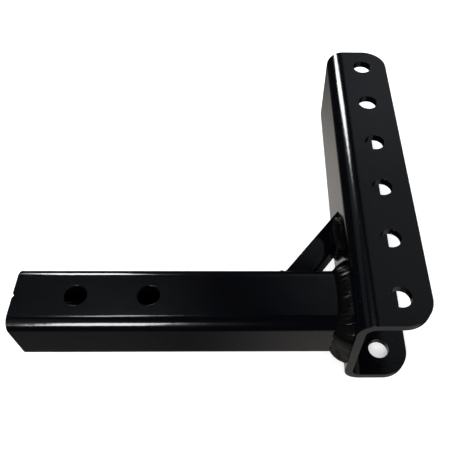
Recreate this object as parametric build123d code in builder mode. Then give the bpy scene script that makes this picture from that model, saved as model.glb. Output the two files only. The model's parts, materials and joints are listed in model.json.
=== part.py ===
"""Drilled channel drawbar: a square shank tube, an adjustable-height channel, a brace and their welds.

The drawbar lies on its side. X runs along the shank, from the free end that goes into the vehicle's
receiver towards the trailer. Y runs along the channel, which is upright in use. Z is up and is the
direction of every pin and bolt. The origin is the centre of the outer hitch-pin hole, on the shank's axis.
"""

import os
from math import cos, radians, sin, tan

from build123d import *

os.makedirs("parts", exist_ok=True)

# --- Driving dimensions, in millimetres and degrees ---

# Shank: square steel tube for a two-inch receiver
shank_width = 50.8
shank_wall = 6.35
shank_corner = 9.25  # outer corner radius
shank_length = 248.5  # free end to the channel's web
shank_end_round = 0.6
pin_hole_dia = 16.67
pin_end_margin = 46.0  # free end to the outer pin hole
pin_pitch = 53.3
nick_width = 4.4  # saw nick in the middle of the free end's upper edge
nick_depth = 1.3

# Channel: one plate folded to a U, with its flanges pointing away from the shank
channel_width = 92.075  # over the two flanges
flange_depth = 53.975  # web's outer face to the flange tips
plate = 6.35
bend_inner = 7.94
flange_corner = 21.6
bolt_hole_dia = 16.67
bolt_pitch = 50.8
bolt_count = 6
bolt_margin = 22.86  # hole centre to the flange's tip edge and to its end edge
shank_offset = 36.1  # channel's near end to the shank's axis
plate_edge_round = 0.8

# Brace: square bar from the channel's web down to the shank's far face
brace_size = 19.05
brace_round = 1.5
brace_angle = 52.7  # between the bar and the shank
brace_reach = 52.0  # shank's far face to where the bar's centre line meets the web

# Weld runs: fillets with a leg on each face and a slightly crowned surface
shank_weld_leg = 10.5  # along the shank
shank_weld_web_leg = 6.2  # out over the web
far_weld_web_leg = 9.5  # the same on the far side, where there is room for more
near_weld_leg = 12.8
near_weld_web_leg = 9.2
near_root_leg = 7.0  # both legs of the first pass on the near side
brace_weld_leg = 6.5
brace_weld_side_leg = 5.6  # out over the shank, beside the bar
weld_wrap = 2.5  # how far the runs beside the bar go past its corners
weld_crown = 0.1  # height of the crown, as a share of the width of the run's face

# --- Places that follow from them ---

out_of_side = {"far": (0, 1, 0), "top": (0, 0, 1), "near": (0, -1, 0), "bottom": (0, 0, -1)}
shank_half = shank_width / 2
shank_flat = shank_half - shank_corner
web_x = shank_length - pin_end_margin
tip_x = web_x + flange_depth
channel_half = channel_width / 2
channel_near_y = -shank_offset
channel_length = (bolt_count - 1) * bolt_pitch + 2 * bolt_margin
bend_outer = bend_inner + plate
bolt_x = tip_x - bolt_margin
brace_half = brace_size / 2
brace_slope = tan(radians(brace_angle))
brace_web_y = shank_half + brace_reach
brace_web_half = brace_half / cos(radians(brace_angle))  # half of the bar's cut end on the web
brace_shank_x = web_x - brace_reach / brace_slope
brace_shank_half = brace_half / sin(radians(brace_angle))  # half of its cut end on the shank


def weld_section(plane, leg_a, leg_b, angle):
    """Section of a run in a corner of this angle: leg_a along the plane's X, leg_b along the other face."""
    toe_a = Vector(leg_a, 0)
    toe_b = Vector(leg_b * cos(radians(angle)), leg_b * sin(radians(angle)))
    chord = toe_b - toe_a
    outward = Vector(chord.Y, -chord.X).normalized()
    crown = (toe_a + toe_b) * 0.5 + outward * (weld_crown * chord.length)
    with BuildSketch(plane) as section:
        with BuildLine():
            Line((0, 0), toe_a)
            ThreePointArc(toe_a, crown, toe_b)
            Line(toe_b, (0, 0))
        make_face()
    return section.sketch


def shank_weld(side, web_leg, shank_leg):
    """Run along one side of the shank and half of each corner beside it, where the shank meets the web."""
    back_along_shank = Vector(-1, 0, 0)
    outward = Vector(*out_of_side[side])
    side_plane = Plane((web_x, 0, 0), x_dir=outward.cross(back_along_shank), z_dir=back_along_shank)
    corner_end = shank_flat + shank_corner * cos(radians(45))
    corner_low = shank_flat + shank_corner * sin(radians(22.5))
    corner_high = shank_flat + shank_corner * cos(radians(22.5))
    with BuildPart() as run:
        with BuildLine(side_plane) as outline:
            ThreePointArc((-corner_end, corner_end), (-corner_low, corner_high), (-shank_flat, shank_half))
            Line((-shank_flat, shank_half), (shank_flat, shank_half))
            ThreePointArc((shank_flat, shank_half), (corner_low, corner_high), (corner_end, corner_end))
        start = outline.line @ 0
        across_corner = side_plane.y_dir - side_plane.x_dir
        start_plane = Plane(start, x_dir=across_corner, z_dir=outline.line % 0)
        sweep(sections=weld_section(start_plane, web_leg, shank_leg, 90), path=outline.line)
    return run.part


def straight_weld(middle, on_face, off_face, angle, face_leg, bar_leg, length):
    """Run along a straight corner whose middle is given: face_leg lies on the face that the bar meets.

    on_face points along that face, away from the bar, and off_face points out of it.
    """
    along = on_face.cross(off_face)
    start_plane = Plane(middle - along * (length / 2), x_dir=on_face, z_dir=along)
    with BuildPart() as run:
        extrude(weld_section(start_plane, face_leg, bar_leg, angle), amount=length)
    return run.part


# --- Shank tube: cut to length, cross-drilled twice for the hitch pin ---
with BuildPart() as shank_tube:
    with BuildSketch(Plane.YZ.offset(-pin_end_margin)):
        RectangleRounded(shank_width, shank_width, shank_corner)
        bore_width = shank_width - 2 * shank_wall
        RectangleRounded(bore_width, bore_width, shank_corner - shank_wall, mode=Mode.SUBTRACT)
    extrude(amount=shank_length)
    free_end = shank_tube.faces().sort_by(Axis.X)[0]
    fillet(free_end.outer_wire().edges(), radius=shank_end_round)
    with Locations((0, 0, shank_half), (pin_pitch, 0, shank_half)):
        Hole(radius=pin_hole_dia / 2)
    with BuildSketch(Plane.XY.offset(shank_half)):
        with BuildLine():
            Polyline(
                (-pin_end_margin, -nick_width / 2),
                (-pin_end_margin + nick_depth, 0),
                (-pin_end_margin, nick_width / 2),
                close=True,
            )
        make_face()
    extrude(amount=-shank_wall, mode=Mode.SUBTRACT)

shank_tube.part.label = "shank_tube"
export_step(shank_tube.part, "parts/shank_tube.step")

# --- Channel: folded plate with rounded flange corners and a ladder of bolt holes ---
with BuildPart() as channel:
    with BuildSketch(Plane.XZ.offset(-channel_near_y)):
        with BuildLine():
            FilletPolyline(
                (tip_x, channel_half),
                (web_x, channel_half),
                (web_x, -channel_half),
                (tip_x, -channel_half),
                radius=bend_outer,
            )
            offset(amount=plate, side=Side.LEFT)
        make_face()
    extrude(amount=-channel_length)
    fillet(channel.edges().filter_by(Axis.Z).group_by(Axis.X)[-1], radius=flange_corner)
    end_edges = channel.faces().filter_by(Axis.Y).edges()
    end_edges = end_edges.filter_by(lambda edge: abs(edge.length - plate) > 0.01)
    tip_edges = channel.faces().filter_by(Axis.X).group_by(Axis.X)[-1].edges().filter_by(Axis.Y)
    arcs = channel.edges().filter_by(GeomType.CIRCLE)
    corner_edges = arcs.filter_by(lambda edge: abs(edge.radius - flange_corner) < 0.01)
    fillet(end_edges + tip_edges + corner_edges, radius=plate_edge_round)
    with Locations((bolt_x, channel_near_y + channel_length / 2, channel_half)):
        with GridLocations(0, bolt_pitch, 1, bolt_count):
            Hole(radius=bolt_hole_dia / 2)

channel.part.label = "channel"
export_step(channel.part, "parts/channel.step")

# --- Brace: square bar, its two ends cut to sit flat on the web and on the shank ---
with BuildPart() as brace:
    with BuildSketch(Plane.XY.offset(-brace_half)):
        with BuildLine():
            Polyline(
                (web_x, brace_web_y - brace_web_half),
                (web_x, brace_web_y + brace_web_half),
                (brace_shank_x - brace_shank_half, shank_half),
                (brace_shank_x + brace_shank_half, shank_half),
                close=True,
            )
        make_face()
    extrude(amount=brace_size)
    bar_axis = Axis((web_x, brace_web_y, 0), (1, brace_slope, 0))
    fillet(brace.edges().filter_by(bar_axis), radius=brace_round)

brace.part.label = "brace"
export_step(brace.part, "parts/brace.step")

# --- Weld runs that join the shank's end to the web, one along each side ---
web_legs = {"far": far_weld_web_leg, "top": shank_weld_web_leg, "bottom": shank_weld_web_leg}
for side, web_leg in web_legs.items():
    shank_run = shank_weld(side, web_leg, shank_weld_leg)
    shank_run.label = f"weld_shank_{side}"
    export_step(shank_run, f"parts/weld_shank_{side}.step")

# The near side, close to the channel's end, was filled in two passes
near_root = shank_weld("near", near_root_leg, near_root_leg)
near_root.label = "weld_shank_near_root"
export_step(near_root, "parts/weld_shank_near_root.step")

with BuildPart() as near_cover:
    add(shank_weld("near", near_weld_web_leg, near_weld_leg))
    add(near_root, mode=Mode.SUBTRACT)
near_cover.part.label = "weld_shank_near_cover"
export_step(near_cover.part, "parts/weld_shank_near_cover.step")

# --- Weld runs round the brace: four on the web and four on the shank ---
# The bar leans, so on the web its corner is wide on the outer side and narrow on the inner one
up = Vector(0, 0, 1)
across = Vector(0, 1, 0)
back = Vector(-1, 0, 0)
web_foot = Vector(web_x, brace_web_y, 0)
shank_foot = Vector(brace_shank_x, shank_half, 0)
web_run_length = 2 * (brace_web_half + weld_wrap)
shank_run_length = 2 * (brace_shank_half + weld_wrap)
web_outer = web_foot + across * brace_web_half
web_inner = web_foot - across * brace_web_half
shank_outer = shank_foot + back * brace_shank_half
shank_inner = shank_foot - back * brace_shank_half
brace_runs = {
    "web_top": (web_foot + up * brace_half, up, back, 90, brace_weld_leg, web_run_length),
    "web_bottom": (web_foot - up * brace_half, -up, back, 90, brace_weld_leg, web_run_length),
    "web_outer": (web_outer, across, back, 90 + brace_angle, brace_weld_leg, brace_size),
    "web_inner": (web_inner, -across, back, 90 - brace_angle, brace_weld_leg, brace_size),
    "shank_top": (shank_foot + up * brace_half, up, across, 90, brace_weld_side_leg, shank_run_length),
    "shank_bottom": (shank_foot - up * brace_half, -up, across, 90, brace_weld_side_leg, shank_run_length),
    "shank_outer": (shank_outer, back, across, 180 - brace_angle, brace_weld_leg, brace_size),
    "shank_inner": (shank_inner, -back, across, brace_angle, brace_weld_leg, brace_size),
}
for place, (middle, on_face, off_face, angle, face_leg, length) in brace_runs.items():
    brace_run = straight_weld(middle, on_face, off_face, angle, face_leg, brace_weld_leg, length)
    brace_run.label = f"weld_brace_{place}"
    export_step(brace_run, f"parts/weld_brace_{place}.step")
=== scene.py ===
import json
import random
from math import atan2, cos, pi, radians, sin

import bmesh
import bpy
from mathutils import Matrix, Vector


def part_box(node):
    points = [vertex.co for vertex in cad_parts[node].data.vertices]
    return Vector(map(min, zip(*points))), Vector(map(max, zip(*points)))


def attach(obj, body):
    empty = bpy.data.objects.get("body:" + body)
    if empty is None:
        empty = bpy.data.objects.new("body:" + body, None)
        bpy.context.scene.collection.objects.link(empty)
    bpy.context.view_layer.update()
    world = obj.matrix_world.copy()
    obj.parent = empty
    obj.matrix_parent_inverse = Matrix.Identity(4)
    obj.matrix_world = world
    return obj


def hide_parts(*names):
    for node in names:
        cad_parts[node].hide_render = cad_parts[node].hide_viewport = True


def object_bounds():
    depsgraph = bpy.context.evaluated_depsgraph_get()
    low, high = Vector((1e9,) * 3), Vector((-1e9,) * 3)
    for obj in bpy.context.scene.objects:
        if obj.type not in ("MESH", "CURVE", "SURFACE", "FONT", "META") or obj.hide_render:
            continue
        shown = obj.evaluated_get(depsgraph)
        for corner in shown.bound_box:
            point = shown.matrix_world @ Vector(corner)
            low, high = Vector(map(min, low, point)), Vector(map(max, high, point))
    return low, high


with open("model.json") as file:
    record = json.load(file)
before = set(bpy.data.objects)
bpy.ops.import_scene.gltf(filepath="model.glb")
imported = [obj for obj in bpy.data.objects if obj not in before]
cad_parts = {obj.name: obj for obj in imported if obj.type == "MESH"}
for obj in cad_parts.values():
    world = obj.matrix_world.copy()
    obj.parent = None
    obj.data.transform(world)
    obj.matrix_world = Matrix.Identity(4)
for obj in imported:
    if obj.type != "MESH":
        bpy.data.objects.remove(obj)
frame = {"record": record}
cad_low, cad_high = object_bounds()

# ----------------------------------------------------------------------------------------------------
# Camera. It stands on the near side and looks down over the middle of the shank. The lens is shifted
# a little, so that the channel stands at the right of the frame and the shank runs off to the left.
# ----------------------------------------------------------------------------------------------------
bpy.ops.object.select_all(action="DESELECT")
bpy.ops.object.camera_add(
    location=(0.13353, -0.20279, 0.37855),
    rotation=(radians(34.699), radians(-1.315), radians(-0.782)),
)
camera = bpy.context.object
camera.name = "camera"
camera.data.sensor_width = 36.0
camera.data.lens = 43.88
camera.data.shift_x = -0.1052
camera.data.shift_y = 0.0532
bpy.context.scene.camera = camera
bpy.context.scene.view_settings.view_transform = "Standard"

# ----------------------------------------------------------------------------------------------------
# Studio. The drawbar lies on a broad sheet of white paper inside a paper tent. Softboxes stand round it,
# each given by its bearing and height as seen from the drawbar. Gloss sees no paper, only the
# softboxes and the room: a dim one, with soft patches of light in it.
# ----------------------------------------------------------------------------------------------------
stage_middle = Vector((0.12, 0.05, 0.0))
stage_radius = 8.0
room_dimness = 0.015


class Wire:
    """A value that flows between nodes. Sums and products of wires add their Math nodes."""

    def __init__(self, graph, socket):
        self.graph = graph
        self.socket = socket

    def with_math(self, operation, first, second):
        return self.graph.node("ShaderNodeMath", {"operation": operation}, {0: first, 1: second})

    def __add__(self, other):
        return self.with_math("ADD", self, other)

    def __sub__(self, other):
        return self.with_math("SUBTRACT", self, other)

    def __mul__(self, other):
        return self.with_math("MULTIPLY", self, other)


class Graph:
    """A node tree that is written node by node, around the node that comes last."""

    def __init__(self, owner, last):
        owner.use_nodes = True
        self.owner = owner
        self.tree = owner.node_tree
        self.last = self.tree.nodes[last]

    def node(self, kind, settings, inputs, output=0):
        """Add a node, set it up, wire its inputs, and give back one of its outputs."""
        made = self.tree.nodes.new(kind)
        for name, value in settings.items():
            if name == "stops":
                self.set_stops(made.color_ramp.elements, value)
            else:
                setattr(made, name, value)
        for key, value in inputs.items():
            self.feed(made.inputs[key], value)
        return Wire(self, made.outputs[output])

    def set_stops(self, elements, stops):
        for place, grey in stops[2:]:
            elements.new(place)
        for element, (place, grey) in zip(elements, stops):
            element.position = place
            element.color = (grey, grey, grey, 1.0)

    def feed(self, socket, value):
        if isinstance(value, Wire):
            self.tree.links.new(value.socket, socket)
        else:
            socket.default_value = value

    def set(self, **inputs):
        """Set or wire the last node's sockets, named with underscores for spaces."""
        for name, value in inputs.items():
            self.feed(self.last.inputs[name.replace("_", " ")], value)


def direction(bearing, height):
    """Unit vector at this bearing, counted from the shank's axis, and this height above the floor."""
    level = cos(radians(height))
    return Vector((level * cos(radians(bearing)), level * sin(radians(bearing)), sin(radians(height))))


def softbox(name, bearing, height, distance, size, radiance, tint=(1.0, 1.0, 1.0)):
    """Rectangular lamp at this bearing and height, turned to face the drawbar."""
    out = direction(bearing, height)
    turn = out.to_track_quat("Z", "Y").to_euler()
    bpy.ops.object.light_add(type="AREA", location=stage_middle + out * distance, rotation=turn)
    lamp = bpy.context.object
    lamp.name = name
    lamp.data.shape = "RECTANGLE"
    lamp.data.size, lamp.data.size_y = size
    lamp.data.energy = radiance * pi * size[0] * size[1]
    lamp.data.color = tint


def paper_stage(piece, name, white, shine):
    """Make a piece of the stage of paper that is lit from behind, unseen in reflections."""
    piece.name = name
    piece.visible_glossy = False
    paper = Graph(bpy.data.materials.new(name), "Principled BSDF")
    paper.set(Base_Color=(white, white, white, 1.0), Roughness=0.9)
    paper.set(Emission_Color=(1.0, 1.0, 1.0, 1.0), Emission_Strength=shine)
    piece.data.materials.append(paper.owner)


floor_height = cad_low[2]
bpy.ops.mesh.primitive_circle_add(
    vertices=96,
    radius=stage_radius,
    fill_type="NGON",
    location=(stage_middle.x, stage_middle.y, floor_height),
)
paper_stage(bpy.context.object, "paper_floor", 0.94, 0.4)
bpy.ops.mesh.primitive_uv_sphere_add(
    segments=48, ring_count=24, radius=stage_radius, location=stage_middle
)
bpy.ops.object.shade_smooth()
paper_stage(bpy.context.object, "paper_tent", 0.0, 1.0)

softbox("window", 114, 27, 1.5, (0.3, 0.46), 20)
softbox("window_curtain", 141, 30, 2.2, (0.9, 0.9), 0.16, (0.7, 0.84, 1.0))
softbox("ceiling_strip", 140, 68, 2.0, (0.4, 0.2), 13)
softbox("front_fill", -110, 28, 2.0, (0.44, 0.75), 21)

room = Graph(bpy.data.worlds.new("room"), "Background")
way = room.node("ShaderNodeTexCoord", {}, {}, "Generated")


def glow(bearing, height, core, edge, strength):
    """Soft round patch of light in the room, full inside the core angle and gone past the edge angle."""
    middle = direction(bearing, height)
    nearness = room.node("ShaderNodeVectorMath", {"operation": "DOT_PRODUCT"}, {0: way, 1: middle}, 1)
    reach = {0: nearness, 1: cos(radians(edge)), 2: cos(radians(core)), 3: 0.0, 4: strength}
    return room.node("ShaderNodeMapRange", {"interpolation_type": "SMOOTHSTEP"}, reach)


right_wall = glow(58, 44, 8, 27, 0.26)
right_far_wall = glow(78, 32, 6, 16, 0.12)
left_ceiling = glow(127, 58, 4, 16, 0.11)
floor_behind = glow(112, -68, 18, 37, 0.46)
floor_before = glow(-49, -54, 9, 31, 0.3)
floor_left = glow(-135, -54, 8, 26, 0.07)
right_window = glow(-15, 32, 12, 50, 0.3)
left_window = glow(210, 30, 10, 42, 0.3)
patches = right_wall + right_far_wall + left_ceiling + right_window + left_window
patches += floor_behind + floor_before + floor_left
height = room.node("ShaderNodeSeparateXYZ", {}, {0: way}, 2) + 0.5
warm = (1.0, 0.95, 0.9, 1.0)
cool = (0.86, 0.93, 1.0, 1.0)
tint = room.node("ShaderNodeMix", {"data_type": "RGBA"}, {0: height, 6: warm, 7: cool}, 2)
room.set(Color=tint, Strength=patches + room_dimness)
bpy.context.scene.world = room.owner

# ----------------------------------------------------------------------------------------------------
# Shank tube. A length of square steel tube with a folded wall and round corners, cross-drilled twice
# for the hitch pin, sawn off square with a small nick at the free end, and sprayed black.
# ----------------------------------------------------------------------------------------------------
MM = 0.001
shank_wall = 6.35 * MM
shank_corner = 9.25 * MM
nick_half_width = 2.2 * MM
nick_depth = 1.3 * MM
corner_steps = 14
rim_round = 0.45 * MM
peel_depth = 0.00005
mounts = {mount["name"]: mount for mount in frame["record"]["mounts"]}


def black_enamel(name, rough, dust):
    """Gloss black enamel: an orange-peel surface, cloudy gloss and a little dust."""
    finish = Graph(bpy.data.materials.new(name), "Principled BSDF")
    place = finish.node("ShaderNodeTexCoord", {}, {}, "Object")
    noise = "ShaderNodeTexNoise"
    clouds = finish.node(noise, {}, {"Vector": place, "Scale": 26.0, "Detail": 3.0})
    peel = finish.node(noise, {}, {"Vector": place, "Scale": 520.0, "Detail": 2.0})
    waves = finish.node(noise, {}, {"Vector": place, "Scale": 90.0, "Detail": 1.0})
    specks = finish.node(noise, {}, {"Vector": place, "Scale": 1500.0, "Detail": 1.0})
    settled = finish.node("ShaderNodeValToRGB", {"stops": [(0.72, 0.0), (0.78, 1.0)]}, {0: specks})
    dusty = settled * dust
    black = (0.0006, 0.0007, 0.0013, 1.0)
    grey = (0.06, 0.06, 0.058, 1.0)
    colour = finish.node("ShaderNodeMix", {"data_type": "RGBA"}, {0: dusty, 6: black, 7: grey}, 2)
    height = peel + waves * 2.5
    bump = finish.node("ShaderNodeBump", {}, {"Height": height, "Distance": peel_depth, "Strength": 0.5})
    finish.set(Base_Color=colour, Roughness=clouds * 0.06 + dusty * 0.4 + rough, Normal=bump)
    return finish.owner


def select_where(kind, test):
    """In edit mode, select only the verts, edges or faces that pass a test."""
    bpy.ops.mesh.select_mode(type={"verts": "VERT", "edges": "EDGE", "faces": "FACE"}[kind])
    bpy.ops.mesh.select_all(action="DESELECT")
    mesh = bmesh.from_edit_mesh(bpy.context.object.data)
    for item in getattr(mesh, kind):
        if test(item):
            item.select_set(True)
    bmesh.update_edit_mesh(bpy.context.object.data)


def runs_along(edge, axis):
    """Does an edge run along this axis of the drawbar?"""
    way = edge.verts[1].co - edge.verts[0].co
    return abs(way[axis]) > 0.999 * way.length


def block_between(low, high):
    """A box from one corner to the other, with its place in its mesh, in edit mode."""
    bpy.ops.object.select_all(action="DESELECT")
    low, high = Vector(low), Vector(high)
    bpy.ops.mesh.primitive_cube_add(size=1.0, location=(low + high) / 2, scale=high - low)
    bpy.ops.object.transform_apply(location=True, rotation=True, scale=True)
    bpy.ops.object.mode_set(mode="EDIT")
    return bpy.context.object


def apply_modifier(piece, kind, **settings):
    """Add a modifier to a piece, set it up and apply it."""
    bpy.context.view_layer.objects.active = piece
    modifier = piece.modifiers.new(kind.lower(), kind)
    for name, value in settings.items():
        setattr(modifier, name, value)
    bpy.ops.object.modifier_apply(modifier=modifier.name)


def cut_out(piece, cutter):
    """Cut the cutter's shape out of the piece, and throw the cutter away."""
    apply_modifier(piece, "BOOLEAN", operation="DIFFERENCE", solver="EXACT", object=cutter)
    bpy.data.objects.remove(cutter)


def drill(piece, mount):
    """Drill right through the piece where the record has a hole."""
    bpy.ops.object.select_all(action="DESELECT")
    radius = mount["dims"]["r_mm"] * MM
    depth = 1.2 * mount["dims"]["length_mm"] * MM
    bpy.ops.mesh.primitive_cylinder_add(vertices=96, radius=radius, depth=depth, location=mount["pos_m"])
    cut_out(piece, bpy.context.object)


def soften_edges(piece, width, segments):
    """Round every edge that is sharper than a fold."""
    apply_modifier(
        piece, "BEVEL", width=width, segments=segments, limit_method="ANGLE", angle_limit=radians(35)
    )


def smooth_faces(piece):
    """Shade the piece smooth, with its wide flat faces kept flat."""
    bpy.ops.object.select_all(action="DESELECT")
    piece.select_set(True)
    bpy.context.view_layer.objects.active = piece
    bpy.ops.object.shade_smooth()
    apply_modifier(piece, "WEIGHTED_NORMAL", weight=100, keep_sharp=False)


def put_on(piece, name, material, slot, *nodes):
    """Name and paint a finished piece, fix it to the drawbar, and let it stand for its CAD nodes."""
    piece.name = name
    piece.data.name = name
    piece.data.materials.clear()
    piece.data.materials.append(material)
    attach(piece, "root")
    if nodes:
        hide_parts(*nodes)


shank_low, shank_high = (Vector(corner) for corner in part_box("shank_tube"))
shank = block_between(shank_low, shank_high)
select_where("edges", lambda edge: runs_along(edge, 0))
bpy.ops.mesh.bevel(offset=shank_corner, segments=corner_steps, affect="EDGES")
select_where("faces", lambda face: abs(face.normal.x) > 0.9)
bpy.ops.mesh.inset(thickness=shank_wall, use_even_offset=True)
bpy.ops.mesh.bridge_edge_loops()
bpy.ops.object.mode_set(mode="OBJECT")
drill(shank, mounts["hitch_pin_hole_outer"])
drill(shank, mounts["hitch_pin_hole_inner"])
soften_edges(shank, rim_round, 3)
bpy.ops.object.select_all(action="DESELECT")
bpy.ops.mesh.primitive_cylinder_add(
    vertices=4,
    radius=1.0,
    depth=2 * shank_wall,
    location=(shank_low.x, 0.0, shank_high.z),
    scale=(nick_depth, nick_half_width, 1.0),
)
cut_out(shank, bpy.context.object)
smooth_faces(shank)
shank_enamel = black_enamel("shank_enamel", 0.1, 0.2)
put_on(shank, "shank", shank_enamel, "black_enamel", "shank_tube")

# ----------------------------------------------------------------------------------------------------
# Channel. One steel plate folded to a U on a press brake, with its flange corners cut round and a
# ladder of bolt holes punched through both flanges, sprayed with the same enamel.
# ----------------------------------------------------------------------------------------------------
plate = 6.35 * MM
bend_outer = 14.29 * MM
flange_corner = 21.6 * MM
plate_round = 0.8 * MM

channel_low, channel_high = (Vector(corner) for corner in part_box("channel"))
channel = block_between(channel_low, channel_high)
select_where("faces", lambda face: abs(face.normal.y) > 0.9 or face.normal.x > 0.9)
bpy.ops.mesh.delete(type="ONLY_FACE")
select_where("edges", lambda edge: runs_along(edge, 1) and edge.verts[0].co.x < channel_low.x + plate)
bpy.ops.mesh.bevel(offset=bend_outer, segments=corner_steps, affect="EDGES")
bpy.ops.object.mode_set(mode="OBJECT")
apply_modifier(channel, "SOLIDIFY", thickness=plate, offset=-1.0, use_even_offset=True)
bpy.ops.object.mode_set(mode="EDIT")
select_where("edges", lambda edge: runs_along(edge, 2) and edge.verts[0].co.x > channel_high.x - plate)
bpy.ops.mesh.bevel(offset=flange_corner, segments=corner_steps, affect="EDGES")
bpy.ops.object.mode_set(mode="OBJECT")
for name, mount in mounts.items():
    if name.startswith("channel_hole"):
        drill(channel, mount)
soften_edges(channel, plate_round, 4)
smooth_faces(channel)
channel_enamel = black_enamel("channel_enamel", 0.11, 0.5)
put_on(channel, "channel_plate", channel_enamel, "black_enamel", "channel")

# ----------------------------------------------------------------------------------------------------
# Brace. A square bar with rolled, slightly rounded edges, sawn at both ends to sit flat on the web
# and on the shank.
# ----------------------------------------------------------------------------------------------------
bar_round = 1.5 * MM

brace_low, brace_high = (Vector(corner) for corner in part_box("brace"))
bar_size = brace_high.z - brace_low.z
outer_foot = Vector((brace_low.x, brace_low.y, 0.0))
outer_top = Vector((brace_high.x, brace_high.y, 0.0))
bar_way = (outer_top - outer_foot).normalized()
bar_side = Vector((bar_way.y, -bar_way.x, 0.0))
bpy.ops.object.select_all(action="DESELECT")
bpy.ops.mesh.primitive_cube_add(
    size=1.0,
    location=(outer_foot + outer_top + bar_side * bar_size) / 2,
    rotation=(0.0, 0.0, atan2(bar_way.y, bar_way.x)),
    scale=(2 * (outer_top - outer_foot).length, bar_size, bar_size),
)
bpy.ops.object.transform_apply(location=True, rotation=True, scale=True)
brace = bpy.context.object
bpy.ops.object.mode_set(mode="EDIT")
select_where("edges", lambda edge: (edge.verts[1].co - edge.verts[0].co).length > 3 * bar_size)
bpy.ops.mesh.bevel(offset=bar_round, segments=5, affect="EDGES")
bpy.ops.mesh.select_all(action="SELECT")
bpy.ops.mesh.bisect(plane_co=outer_top, plane_no=(1, 0, 0), use_fill=True, clear_outer=True)
bpy.ops.mesh.select_all(action="SELECT")
bpy.ops.mesh.bisect(plane_co=outer_foot, plane_no=(0, -1, 0), use_fill=True, clear_outer=True)
bpy.ops.object.mode_set(mode="OBJECT")
smooth_faces(brace)
brace_enamel = black_enamel("brace_enamel", 0.12, 0.2)
put_on(brace, "brace_bar", brace_enamel, "black_enamel", "brace")

# ----------------------------------------------------------------------------------------------------
# Weld runs round the shank's end. Beads of melted steel, laid along each side of the shank where it
# meets the web, one ripple behind the other, and painted over with the rest. The near side has two.
# ----------------------------------------------------------------------------------------------------
random.seed(7)
shank_half = shank_high.z
shank_flat = shank_half - shank_corner
web_x = channel_low.x
bead_pitch = 3.6 * MM
ripple_half = 5.6 * MM
shank_lean = 7.0 * MM
stop_scatter = 0.8  # how far a ripple may stand off its place, in mm
weld_grain = 0.42 * MM  # voxel size that the ripples are melted together with
sink = 0.25  # how far a ripple goes into the steel, as a share of its leg
swell = 0.6  # how far behind the corner a ripple's round surface has its centre, as the same share


def ripple_blank():
    """One ripple in unit legs: a lens whose round side bulges out of the corner between X and Y."""
    radius = ((1 + swell) ** 2 + swell**2) ** 0.5
    bpy.ops.object.select_all(action="DESELECT")
    bpy.ops.mesh.primitive_uv_sphere_add(segments=28, ring_count=14, radius=1.0)
    bpy.ops.object.mode_set(mode="EDIT")
    bpy.ops.transform.resize(value=(radius, radius, 1.0))
    bpy.ops.transform.translate(value=(-swell, -swell, 0.0))
    for out in ((-1, 0, 0), (0, -1, 0)):
        bpy.ops.mesh.select_all(action="SELECT")
        plane_point = Vector(out) * sink
        bpy.ops.mesh.bisect(plane_co=plane_point, plane_no=out, use_fill=True, clear_outer=True)
    bpy.ops.object.mode_set(mode="OBJECT")
    return bpy.context.object


def weld_run(stops, unevenness=0.05, flow=16, ripple_lean=shank_lean):
    """Lay a ripple at each stop, a root point with its two legs and its heading, and let them flow."""
    blank = ripple_blank()
    ripples = []
    for root, leg_a, leg_b, heading in stops:
        grow_a = 1 + random.uniform(-unevenness, unevenness)
        grow_b = 1 + random.uniform(-unevenness, unevenness)
        lean = heading * ripple_lean
        side_a = leg_a * grow_a - lean
        side_b = leg_b * grow_b - lean
        columns = Matrix((side_a, side_b, heading * ripple_half)).transposed().to_4x4()
        start = root + heading * (random.uniform(-stop_scatter, stop_scatter) * MM + ripple_lean)
        ripple = blank.copy()
        ripple.data = blank.data.copy()
        ripple.data.transform(Matrix.Translation(start) @ columns)
        bpy.context.collection.objects.link(ripple)
        ripples.append(ripple)
    bpy.data.objects.remove(blank)
    bpy.ops.object.select_all(action="DESELECT")
    for ripple in ripples:
        ripple.select_set(True)
    bpy.context.view_layer.objects.active = ripples[0]
    bpy.ops.object.join()
    run = bpy.context.object
    apply_modifier(run, "REMESH", mode="VOXEL", voxel_size=weld_grain)
    apply_modifier(run, "SMOOTH", factor=0.5, iterations=flow)
    bpy.ops.object.shade_smooth()
    return run


def outline_stop(side, distance, web_leg, shank_leg):
    """Stop on the shank's outline, this far along one side from its middle, turning with its corners."""
    along = side.cross(Vector((1, 0, 0)))
    past_flat = abs(distance) - shank_flat
    sign = 1 if distance > 0 else -1
    if past_flat <= 0:
        point = side * shank_half + along * distance
        out = side
    else:
        turn = past_flat / shank_corner
        out = side * cos(turn) + along * (sign * sin(turn))
        point = (side + along * sign) * shank_flat + out * shank_corner
    root = Vector((web_x, 0, 0)) + point
    heading = out.cross(Vector((1, 0, 0)))
    return root, out * web_leg, Vector((-shank_leg, 0, 0)), heading


def shank_run(side, web_leg, shank_leg, corner_gain, pitch=bead_pitch):
    """The stops along one side of the shank and round half of each corner, where the bead is longer."""
    reach = shank_flat + shank_corner * pi / 4
    count = round(2 * reach / pitch)
    stops = []
    for index in range(count):
        distance = -reach + (index + 0.5) * 2 * reach / count
        gain = corner_gain * abs(distance / reach) ** 3
        stops.append(outline_stop(side, distance, web_leg, shank_leg + gain))
    return stops


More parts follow.
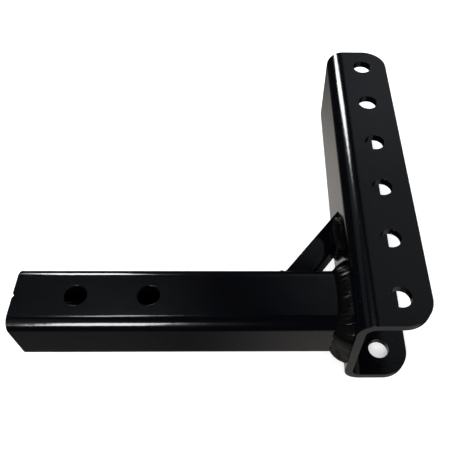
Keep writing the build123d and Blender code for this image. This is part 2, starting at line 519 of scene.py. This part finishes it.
def painted_weld(name, floor_sheen_grey, rough):
    """The same enamel, less reflective over sooty ripples; greyer and duller low down: painted floor
    reflection.
    """
    finish = Graph(bpy.data.materials.new(name), "Principled BSDF")
    place = finish.node("ShaderNodeTexCoord", {}, {}, "Object")
    noise = "ShaderNodeTexNoise"
    clouds = finish.node(noise, {}, {"Vector": place, "Scale": 150.0, "Detail": 3.0})
    grain = finish.node(noise, {}, {"Vector": place, "Scale": 600.0, "Detail": 3.0})
    scale = finish.node("ShaderNodeTexVoronoi", {}, {"Vector": place, "Scale": 300.0})
    height = finish.node("ShaderNodeSeparateXYZ", {}, {0: place}, 2)
    # painted floor reflection: the paint turns greyer and rougher below the shank's middle, in cloudy
    # patches
    low_down = finish.node("ShaderNodeMapRange", {}, {0: height, 1: 0.016, 2: 0.002, 3: 0.0, 4: 1.0})
    painted_sheen_mask = low_down * (clouds * 2.0 - 0.25)
    black = (0.0009, 0.0009, 0.0011, 1.0)
    painted_sheen_colour = (*floor_sheen_grey, 1.0)
    colour = finish.node("ShaderNodeMix", {"data_type": "RGBA"}, {0: painted_sheen_mask, 6: black, 7: painted_sheen_colour}, 2)
    relief = grain * 1.2 + scale * 0.8
    bump = finish.node("ShaderNodeBump", {}, {"Height": relief, "Distance": 0.00005, "Strength": 0.5})
    finish.set(Base_Color=colour, Roughness=clouds * 0.16 + painted_sheen_mask * rough + 0.16, Normal=bump)
    finish.set(Specular_IOR_Level=0.09)
    return finish.owner


# each weld paint's grey is its painted floor reflection; the near beads get a lighter, rougher one
weld_paint = painted_weld("weld_enamel", (0.012, 0.0115, 0.011), 0.06)
near_weld_paint = painted_weld("thin_weld_enamel", (0.016, 0.0155, 0.0135), 0.2)
far, near = Vector((0, 1, 0)), Vector((0, -1, 0))
top, bottom = Vector((0, 0, 1)), Vector((0, 0, -1))
far_bead = weld_run(shank_run(far, 9.2 * MM, 10.8 * MM, 1.0 * MM), flow=30)
put_on(far_bead, "shank_weld_far", weld_paint, "painted_weld", "weld_shank_far")
top_bead = weld_run(shank_run(top, 7.0 * MM, 10.6 * MM, 3.2 * MM), 0.01, flow=90)
put_on(top_bead, "shank_weld_top", weld_paint, "painted_weld", "weld_shank_top")
bottom_bead = weld_run(shank_run(bottom, 6.8 * MM, 10.3 * MM, 1.5 * MM))
put_on(bottom_bead, "shank_weld_bottom", weld_paint, "painted_weld", "weld_shank_bottom")
near_root = weld_run(shank_run(near, 7.0 * MM, 7.0 * MM, 0.5 * MM))
put_on(near_root, "shank_weld_near_root", near_weld_paint, "painted_weld", "weld_shank_near_root")
near_cover = weld_run(shank_run(near, 9.4 * MM, 13.2 * MM, 0.5 * MM, 6.2 * MM), 0.08, 8)
put_on(near_cover, "shank_weld_near_cover", near_weld_paint, "painted_weld", "weld_shank_near_cover")

# ----------------------------------------------------------------------------------------------------
# Weld runs round the brace. Four short beads tie its end to the web and four tie its foot to the
# shank. At each end the beads above and below the bar are the long ones, and two more close the sides.
# ----------------------------------------------------------------------------------------------------
wrap = 2.5 * MM  # how far the long beads on the shank run past the bar
brace_lean = 2.0 * MM
web_slip = 6.2 * MM  # how far the beads above and below the bar's end sit towards the shank

web_foot = outer_top + bar_side * bar_size / 2
web_foot += bar_way * ((web_x - web_foot.x) / bar_way.x)
shank_foot = outer_foot + bar_side * bar_size / 2
shank_foot += bar_way * ((shank_half - shank_foot.y) / bar_way.y)
web_half = bar_size / 2 / bar_way.x
foot_half = bar_size / 2 / bar_way.y
back = Vector((-1, 0, 0))


def value_at(values, share):
    """Read a row of evenly spaced values at this share of its length."""
    place = share * (len(values) - 1)
    index = min(int(place), len(values) - 2)
    return values[index] + (values[index + 1] - values[index]) * (place - index)


def bar_run(middle, face_out, bar_out, face_legs, bar_legs, length):
    """The stops along one side of the bar's end, with the legs changing from the run's start to its end."""
    heading = face_out.cross(bar_out).normalized()
    length -= ripple_half
    count = round(length / bead_pitch)
    stops = []
    for index in range(count):
        share = (index + 0.5) / count
        root = middle + heading * (share - 0.5) * length
        face_leg = face_out * value_at(face_legs, share) * MM
        bar_leg = bar_out * value_at(bar_legs, share) * MM
        stops.append((root, face_leg, bar_leg, heading))
    return stops


web_run = 2 * web_half
foot_end = 2 * (foot_half + wrap)
outer_run = 0.65 * bar_size
web_above = web_foot + near * web_slip + top * bar_size / 2
web_below = web_foot + near * web_slip + bottom * bar_size / 2
# legs in mm, read from the start of a run to its end
web_side_legs = (1.2, 6.0, 9.9, 10.5, 9.5)
web_bar_legs = (4.5, 6.0, 6.5, 6.0, 5.0)
lens_legs = (0.8, 1.5, 2.0, 1.4, 0.6)
inner_legs = (4.6, 4.6)
even_legs = (7.0, 7.0)
side_legs = (6.0, 6.0)
brace_runs = {
    "web_top": (web_above, top, back, web_side_legs, web_bar_legs, web_run),
    "web_bottom": (web_below, bottom, back, web_side_legs[::-1], web_bar_legs[::-1], web_run),
    "web_outer": (web_foot + far * web_half, far, -bar_way, lens_legs, even_legs, outer_run),
    "web_inner": (web_foot + near * web_half, near, -bar_way, inner_legs, even_legs, bar_size),
    "shank_top": (shank_foot + top * bar_size / 2, top, far, side_legs, even_legs, foot_end),
    "shank_bottom": (shank_foot + bottom * bar_size / 2, bottom, far, side_legs, even_legs, foot_end),
    "shank_outer": (shank_foot + back * foot_half, back, bar_way, lens_legs, even_legs, bar_size),
    "shank_inner": (shank_foot - back * foot_half, -back, bar_way, even_legs, even_legs, bar_size),
}
for place, run in brace_runs.items():
    bead = weld_run(bar_run(*run), flow=10, ripple_lean=brace_lean)
    put_on(bead, f"brace_weld_{place}", weld_paint, "painted_weld", f"weld_brace_{place}")

# ----------------------------------------------------------------------------------------------------
# Weld spatter. Small drops of steel that flew off the arc, stuck to the plate and the shank close to
# the beads, and were painted over.
# ----------------------------------------------------------------------------------------------------
spatter_count = 26
spatter_reach = 16 * MM
top_toe = 12.5 * MM
near_toe = 14.5 * MM
far_toe = 11 * MM

bpy.ops.object.select_all(action="DESELECT")
bpy.ops.mesh.primitive_ico_sphere_add(subdivisions=2, radius=1.0)
drop_blank = bpy.context.object
drops = []
for index in range(spatter_count):
    size = random.uniform(0.35, 0.85) * MM
    away = random.uniform(0.15, 1.0) * spatter_reach
    along = random.uniform(-0.9, 0.9) * shank_flat
    spots = (
        (Vector((web_x - top_toe - away, along, shank_half)), top),
        (Vector((web_x - near_toe - away, -shank_half, along)), near),
        (Vector((web_x, shank_half + far_toe + away, along)), back),
    )
    spot, out = spots[index % len(spots)]
    flat = Matrix.Diagonal((size, size, size * 0.6, 1.0))
    drop = drop_blank.copy()
    drop.data = drop_blank.data.copy()
    turned = out.to_track_quat("Z", "Y").to_matrix().to_4x4()
    drop.data.transform(Matrix.Translation(spot) @ turned @ flat)
    bpy.context.collection.objects.link(drop)
    drops.append(drop)
bpy.data.objects.remove(drop_blank)
bpy.ops.object.select_all(action="DESELECT")
for drop in drops:
    drop.select_set(True)
bpy.context.view_layer.objects.active = drops[0]
bpy.ops.object.join()
bpy.ops.object.shade_smooth()
put_on(bpy.context.object, "weld_spatter", weld_paint, "painted_weld")
